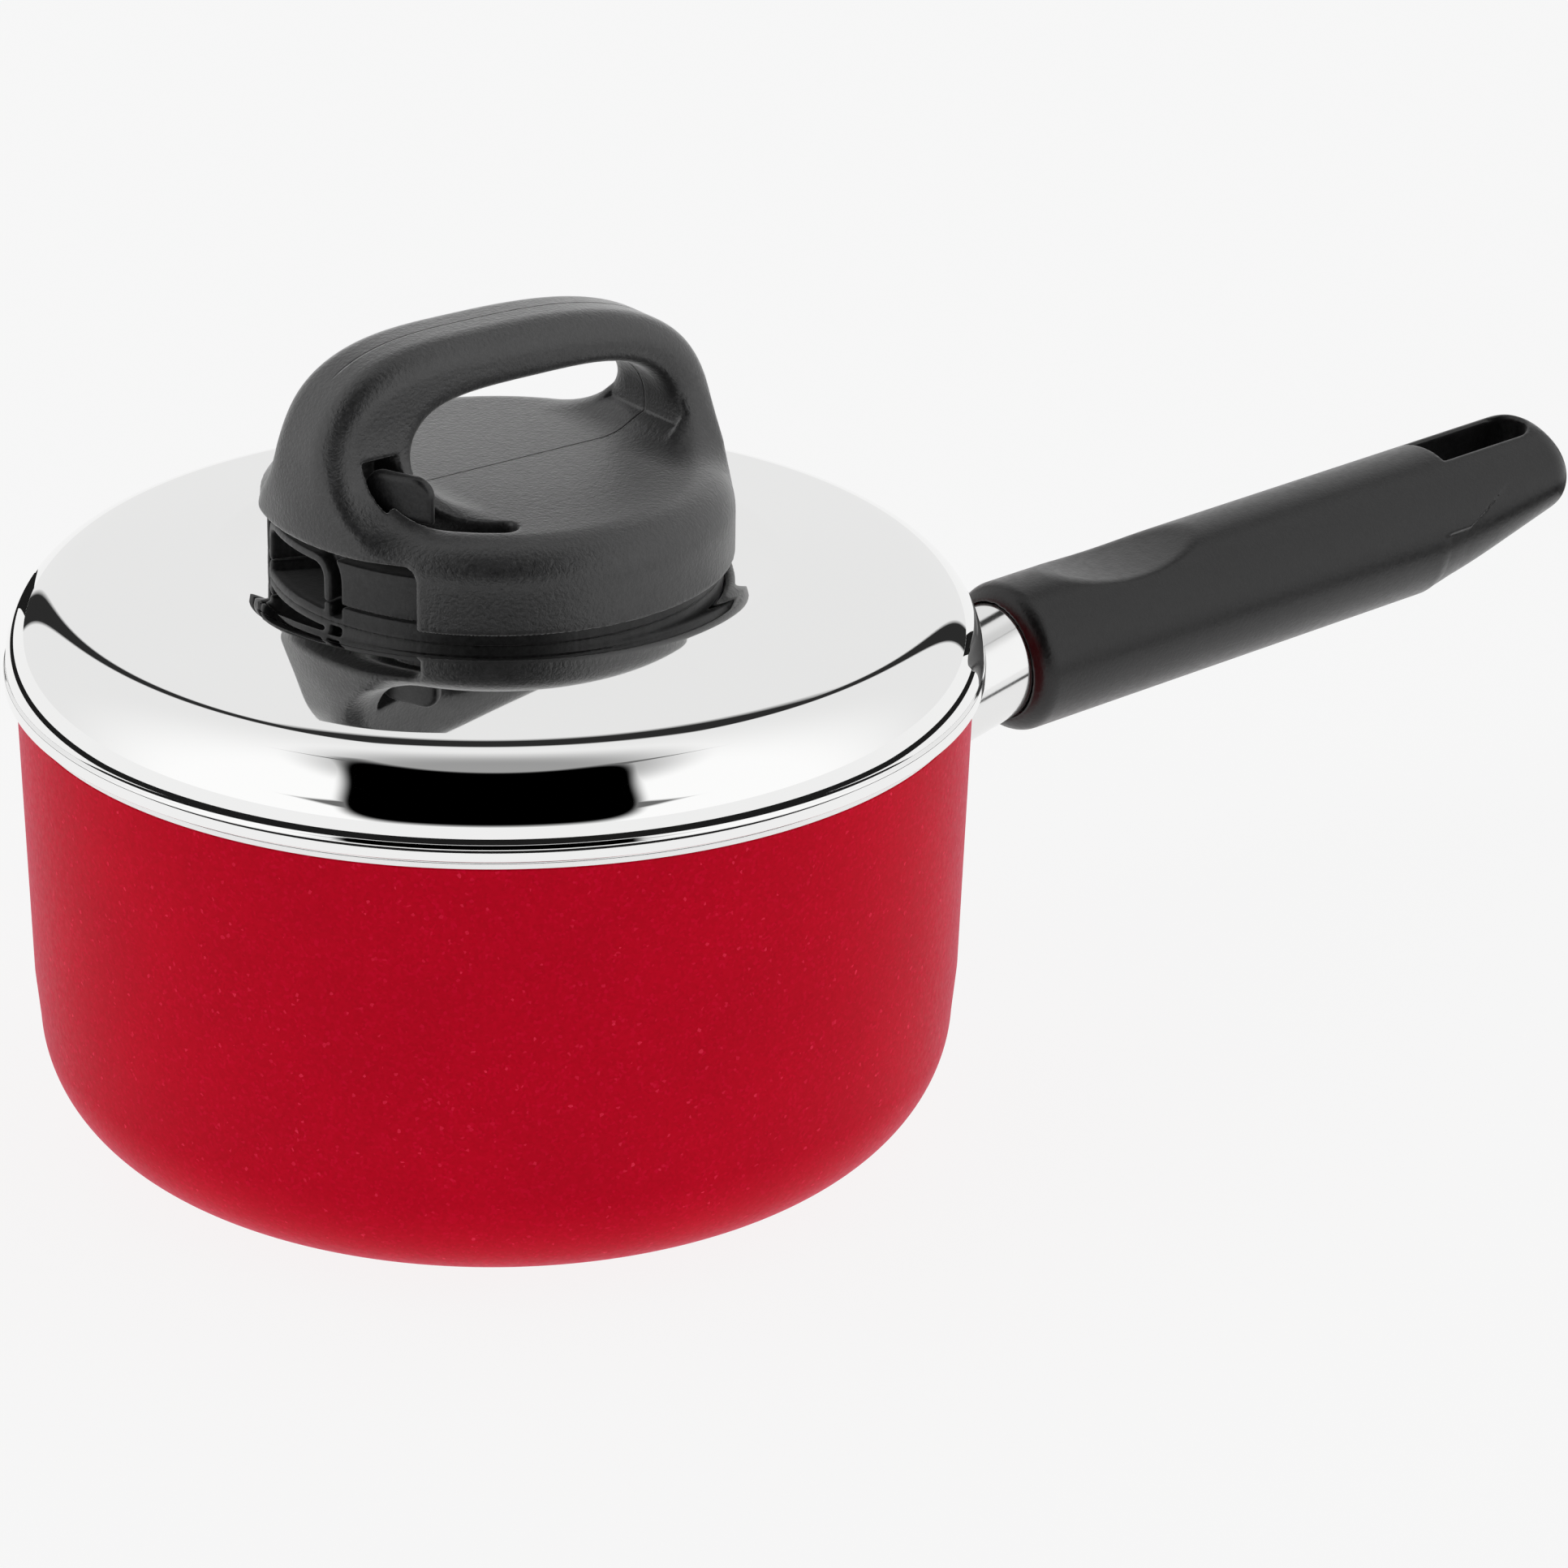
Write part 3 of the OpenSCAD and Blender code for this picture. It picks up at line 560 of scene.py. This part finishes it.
def build_housings():
    def lower(x, y, z):
        return housing_distance(x, y, z, SEAT_Z, SPLIT_Z, False)

    def upper(x, y, z):
        r, az = polar(x, y)
        gate = np.abs(round_mm(az, VENT_AZ + 16.0, GATE_R)) - math.radians(34.5) * GATE_R
        gate = np.maximum(gate, np.abs(r - GATE_R) - 1.2)
        return np.maximum(housing_distance(x, y, z, SPLIT_Z + 0.3, DECK_Z, True), -gate)

    for node, distance, low, high in (("knob_base", lower, SEAT_Z, SPLIT_Z),
                                      ("vent_housing", upper, SPLIT_Z + 0.3, DECK_Z)):
        box = (-HOUSING_R, -HOUSING_R, low), (HOUSING_R, HOUSING_R, high)
        skin = smooth_solid(node + "_skin", distance, *box, 0.33)
        dress(skin, HOUSING, "lid", node)


def slider_distance(x, y, z):
    hub_z = DECK_Z + 0.4
    r, az = polar(x, y)
    # Upright tab with rounded top corners
    tab = corner(np.abs(round_mm(az, TAB_AZ, TAB_R)) - 6.35, z - (TOP_Z + 8.3), 3.4)
    tab = np.maximum(tab, TOP_Z + 0.3 - z)
    tab = smax(tab, np.abs(r - TAB_R) - 1.2, 1.1)
    stem = np.maximum(np.abs(round_mm(az, TAB_AZ, SLOT_R)) - 1.76, np.abs(r - SLOT_R) - 1.95)
    stem = np.maximum(stem, between(z, hub_z, TOP_Z + 2.3))
    arm = np.maximum(np.abs(round_mm(az, TAB_AZ, r)) - 4.0, between(r, 4.5, SLOT_R))
    sweep = np.maximum(np.radians(between(az, 155.5, 212.0)) * r, np.abs(r - GATE_R) - 2.7)
    arm = np.maximum(np.minimum(arm, sweep), between(z, hub_z, hub_z + 2.2))
    hub = np.maximum(r - 6.5, between(z, hub_z, hub_z + 2.6))
    body = smin(np.minimum(arm, stem), tab, 0.5)
    body = smin(body, hub, 0.4)
    return np.maximum(body, HUB_BORE_R - r)


def build_slider():
    slider = smooth_solid("steam_slider_skin", slider_distance, *span("steam_slider"), 0.3)
    dress(slider, SLIDER, "slider", "steam_slider")


# ---------------------------------------------------------------- grip

GRIP_PLACE = (Matrix.Translation((PAN_R, 0, PAN_H - GRIP_DROP))
              @ Matrix.Rotation(math.radians(-GRIP_TILT), 4, "Y"))
GUARD_LOCAL = (Matrix.Translation((GRIP_FRONT, 0, 0))
               @ Matrix.Rotation(math.radians(-GUARD_TILT), 4, "Y"))


def grip_distance(x, y, z):
    """The grip along its own X axis."""
    r = np.hypot(y, z)
    bar = np.maximum(corner(r - GRIP_R, GRIP_FRONT - x, 4.0), corner(r - GRIP_R, x - GRIP_TIP, 8.0))
    # Below the tip the bar is narrowed by a second bar that rises, blended in from where it turns
    turn, rise, lift = GRIP_TIP - 38.3, math.radians(15.5), 0.17
    along = (x - turn) * math.cos(rise) + (z - lift) * math.sin(rise)
    over = -(x - turn) * math.sin(rise) + (z - lift) * math.cos(rise)
    second = corner(np.hypot(y, over) - GRIP_R - 0.15, along - 37.5, 7.0)
    second = second - 2.0 * np.clip((turn + 1 - x) / 6, 0.0, 1.0)
    below = (x > turn - 12) & (z < np.maximum(2.0, (x - turn) * 0.5 - 1))
    second = np.where(below, second, -9.0)
    body = smax(bar, second, 0.05 + 3.0 * np.clip((x - turn + 6) / 12, 0.0, 1.0))
    # Thumb rest
    scoop_l, scoop_depth = 34, 2.6
    scoop_r = (scoop_l ** 2 / 4 + scoop_depth ** 2) / (2 * scoop_depth)
    scoop = np.hypot(x - 60.5, z - (GRIP_R - scoop_depth + scoop_r)) - scoop_r
    body = smax(body, -scoop, 0.7)
    # Hanging slot, the tie screw's bore and the flame guard's socket
    slot_half, slot_from, slot_end = 5.0, 140.2, 160.5
    straight = np.maximum(np.abs(y) - slot_half, slot_from - x)
    slot = np.where(x > slot_end, np.hypot(x - slot_end, y) - slot_half, straight)
    body = smax(body, -slot, 1.0)
    bore = np.maximum(r - 4.9, between(x, 130.9, 141.2))
    body = np.maximum(body, -bore)
    c, s = math.cos(math.radians(GUARD_TILT)), math.sin(math.radians(GUARD_TILT))
    gx, gz = (x - GRIP_FRONT) * c + z * s, -(x - GRIP_FRONT) * s + z * c
    socket = np.maximum(np.hypot(y, gz) - GUARD_R - 0.2, np.abs(gx + 2) - 8.0)
    return smax(body, -socket, 0.5)


def build_grip():
    low, high = (GRIP_FRONT, -GRIP_R, -GRIP_R), (GRIP_TIP, GRIP_R, GRIP_R)
    grip = smooth_solid("handle_grip_skin", grip_distance, low, high, 0.38, GRIP_PLACE)
    dress(grip, GRIP, "pan", "handle_grip")


def build_guard():
    """Flame guard: a drawn tube whose far end follows the pan's wall."""
    lean = math.tan(math.radians(WALL_LEAN))
    turn = GRIP_PLACE @ GUARD_LOCAL

    def reach(angle, r):
        x = -30.0
        for _ in range(40):
            p = turn @ Vector((x, r * math.cos(angle), r * math.sin(angle)))
            gap = math.hypot(p.x, p.y) - (PAN_R - lean * (TRIM_Z - p.z)) - 0.05
            x -= gap
        return x

    n, steps = 128, 10
    points, faces = [], []
    # Outer skin from the wall to the socket, then the inner skin back
    for layer, r in ((0, GUARD_R), (1, GUARD_R - GUARD_T)):
        for j in range(steps + 1):
            u = j / steps if layer == 0 else 1 - j / steps
            for k in range(n):
                a = 2 * math.pi * k / n
                start, stop = reach(a, r), 5.9
                p = turn @ Vector((start + (stop - start) * u, r * math.cos(a), r * math.sin(a)))
                points.append(tuple(p))
    rows = 2 * (steps + 1)
    for j in range(rows):
        for k in range(n):
            a, b = j * n + k, j * n + (k + 1) % n
            c, d = ((j + 1) % rows) * n + (k + 1) % n, ((j + 1) % rows) * n + k
            faces.append((a, b, c, d))
    guard = add_mesh("flame_guard_skin", points, faces, 40)
    dress(guard, TRIM, "pan", "flame_guard")


build_pan()
build_trim()
build_lid()
build_cap()
build_housings()
build_slider()
build_grip()
build_guard()

# CAD nodes that stay as they are, with their own finish
for node, material in {
    "base_plate": BASE, "handle_bracket": BRACKET, "bracket_nut": ZINC, "tie_screw": ZINC,
    "lock_washer": ZINC, "backing_plate": BRACKET, "knob_screws": ZINC, "insert_nuts": BRASS,
    "vent_grommet": RUBBER, "knob_seal": RUBBER, "pivot_pin": ZINC, "steam_gate": GATE,
    "friction_washer": ZINC,
}.items():
    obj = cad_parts[node]
    obj.data.materials.clear()
    obj.data.materials.append(material)


# ---------------------------------------------------------------- floor, light, camera

def build_stage():
    size = 6.0
    mesh = bpy.data.meshes.new("floor")
    corners = [(-size, -size), (size, -size), (size, size), (-size, size)]
    mesh.from_pydata([(x, y, -0.0004) for x, y in corners], [], [(0, 1, 2, 3)])
    floor = link_object("floor", mesh)
    mat = bpy.data.materials.new("floor_pale")
    mat.use_nodes = True
    tree = mat.node_tree
    tree.nodes.clear()
    out = tree.nodes.new("ShaderNodeOutputMaterial")
    glow = tree.nodes.new("ShaderNodeEmission")
    glow.inputs["Color"].default_value = (0.935, 0.935, 0.935, 1)
    glow.inputs["Strength"].default_value = 0.945
    matt = tree.nodes.new("ShaderNodeBsdfDiffuse")
    matt.inputs["Color"].default_value = (0.07, 0.07, 0.07, 1)
    add = tree.nodes.new("ShaderNodeAddShader")
    tree.links.new(glow.outputs[0], add.inputs[0])
    tree.links.new(matt.outputs[0], add.inputs[1])
    tree.links.new(add.outputs[0], out.inputs[0])
    mesh.materials.append(mat)



def build_lines():
    """The edge of the table and the seams of the backdrop, seen only in the mirror surfaces."""
    pts, faces = [], []

    def strip(quad):
        start = len(pts)
        for r, degrees in quad:
            a = math.radians(degrees - STUDIO_TURN)
            pts.append((r * math.cos(a), r * math.sin(a), 0.0006))
        faces.append(tuple(range(start, start + 4)))

    def edge(degrees):
        back = max(0.0, math.sin(math.radians(degrees)))
        return 0.285 + 0.10 * back, 0.372 + 0.15 * back

    n, first, last = 80, 113.0, 53.0 + 360.0
    around = [first + (last - first) * k / n for k in range(n + 1)]
    for a1, a2 in zip(around, around[1:]):
        (i1, o1), (i2, o2) = edge(a1), edge(a2)
        strip(((i1, a1), (o1, a1), (o2, a2), (i2, a2)))
    for a1, a2 in ((112.5, 119.0), (48.0, 55.0)):
        strip(((0.45, a1), (5.8, a1), (5.8, a2), (0.45, a2)))
    lines = bpy.data.meshes.new("studio_lines")
    lines.from_pydata(pts, [], faces)
    card = link_object("studio_lines", lines)
    dark = bpy.data.materials.new("studio_lines_dark")
    dark.use_nodes = True
    bsdf = dark.node_tree.nodes["Principled BSDF"]
    bsdf.inputs["Base Color"].default_value = (0.02, 0.02, 0.02, 1)
    bsdf.inputs["Specular IOR Level"].default_value = 0.0
    lines.materials.append(dark)
    card.visible_camera = False
    card.visible_diffuse = False
    card.visible_shadow = False


def build_world():
    world = bpy.data.worlds.new("studio")
    bpy.context.scene.world = world
    world.use_nodes = True
    tree = world.node_tree
    tree.nodes.clear()

    def node(kind, **settings):
        n = tree.nodes.new(kind)
        for key, value in settings.items():
            setattr(n, key, value)
        return n

    def op(kind, a, b=None, clamp=False):
        return math_node(tree, kind, (a, b), clamp)

    def step(value, low, high):
        """0 below low, 1 above high, smooth between."""
        n = node("ShaderNodeMapRange", interpolation_type="SMOOTHSTEP")
        tree.links.new(value, n.inputs[0])
        n.inputs[1].default_value, n.inputs[2].default_value = low, high
        return n.outputs[0]

    way = node("ShaderNodeTexCoord").outputs["Generated"]
    turn = node("ShaderNodeVectorRotate", rotation_type="Z_AXIS")
    tree.links.new(way, turn.inputs["Vector"])
    turn.inputs["Angle"].default_value = math.radians(STUDIO_TURN)
    xyz = node("ShaderNodeSeparateXYZ")
    tree.links.new(turn.outputs[0], xyz.inputs[0])
    x, y, z = xyz.outputs

    # The border of the backdrop behind the pan: a tall frame in the plane y = 1
    depth = op("MAXIMUM", y, 0.02)
    p, q = op("DIVIDE", x, depth), op("DIVIDE", z, depth)
    middle, half, height, slope, round_r = 0.1, 0.63, 1.82, 0.3, 0.12
    a = op("ADD", op("SUBTRACT", op("ABSOLUTE", op("SUBTRACT", p, middle)), half), round_r)
    top = op("SUBTRACT", q, op("SUBTRACT", height, op("MULTIPLY", p, slope)))
    b = op("ADD", op("MULTIPLY", top, 0.14), round_r)
    am, bm = op("MAXIMUM", a, 0.0), op("MAXIMUM", b, 0.0)
    out = op("SQRT", op("ADD", op("MULTIPLY", am, am), op("MULTIPLY", bm, bm)))
    dist = op("SUBTRACT", op("ADD", out, op("MINIMUM", op("MAXIMUM", a, b), 0.0)), round_r)
    width = op("ADD", 0.052, op("MULTIPLY", step(q, 0.9, 0.0), 0.03))
    line = op("SUBTRACT", 1.0, op("DIVIDE", op("SUBTRACT", op("ABSOLUTE", dist), width), 0.03), clamp=True)
    line = op("MULTIPLY", line, step(y, 0.02, 0.1))
    line = op("MULTIPLY", line, 0.97)

    # The dark side of the studio behind the camera
    elevation, half_rise = op("ARCSINE", z), math.radians(37.0)
    reach = op("SUBTRACT", 0.565, op("MULTIPLY", op("MULTIPLY", z, z), 0.205))
    u = op("DIVIDE", op("ABSOLUTE", op("ADD", x, 0.02)), reach)
    rise = op("DIVIDE", op("SUBTRACT", elevation, half_rise), half_rise)
    v = op("ABSOLUTE", rise)
    blob = op("POWER", op("ADD", op("POWER", u, 7.0), op("POWER", v, 4.5)), 0.2)
    hole = op("MULTIPLY", step(blob, 1.08, 0.92), step(y, 0.02, -0.08))
    # Its upper and lower edges run out sideways into thin points
    aside = op("ABSOLUTE", x)
    upper = op("ABSOLUTE", op("SUBTRACT", y, op("SUBTRACT", aside, 0.48)))
    upper = op("SUBTRACT", op("MULTIPLY", step(aside, 0.56, 0.2), 0.06), upper)
    upper = op("MULTIPLY", op("DIVIDE", upper, 0.02, clamp=True), step(z, 0.3, 0.5))
    thin = op("MULTIPLY", op("MULTIPLY", step(u, 1.4, 0.75), 0.2), step(y, 0.0, -0.1))
    lower = op("SUBTRACT", thin, op("ABSOLUTE", op("ADD", rise, 0.55)))
    point = op("MAXIMUM", upper, op("DIVIDE", lower, 0.06, clamp=True))
    hole = op("MAXIMUM", hole, op("MULTIPLY", point, 0.85))
    # Dim ceiling above the camera
    veil = op("MULTIPLY", step(op("SUBTRACT", z, op("MULTIPLY", y, 0.35)), 0.86, 1.03), 0.66)

    dark = op("MAXIMUM", op("MAXIMUM", line, hole), veil)
    light = op("SUBTRACT", 1.0, dark)
    # The studio light is brightest in front
    lift = op("ADD", 0.85, op("MULTIPLY", step(y, 0.5, -0.3), 0.2))
    strength = op("MULTIPLY", light, lift)
    back = node("ShaderNodeBackground")
    back.inputs["Color"].default_value = (1.0, 1.0, 1.0, 1)
    tree.links.new(strength, back.inputs["Strength"])
    final = node("ShaderNodeOutputWorld")
    tree.links.new(back.outputs[0], final.inputs[0])


def build_camera():
    cam = bpy.data.cameras.new("camera")
    cam.sensor_width = 36.0
    cam.lens = 130.43
    cam.clip_start, cam.clip_end = 0.05, 50.0
    obj = link_object("camera", cam)
    right, up = Vector((0.78738, -0.61626, 0.01618)), Vector((0.23373, 0.32272, 0.91718))
    ahead = Vector((0.57045, 0.7184, -0.39814))
    turn = Matrix((right, up, -ahead)).transposed().to_4x4()
    obj.matrix_world = Matrix.Translation((-0.5227, -0.7382, 0.4536)) @ turn
    bpy.context.scene.camera = obj


build_stage()
build_lines()
build_world()
build_camera()
bpy.context.scene.view_settings.view_transform = "Standard"
bpy.context.scene.view_settings.look = "None"
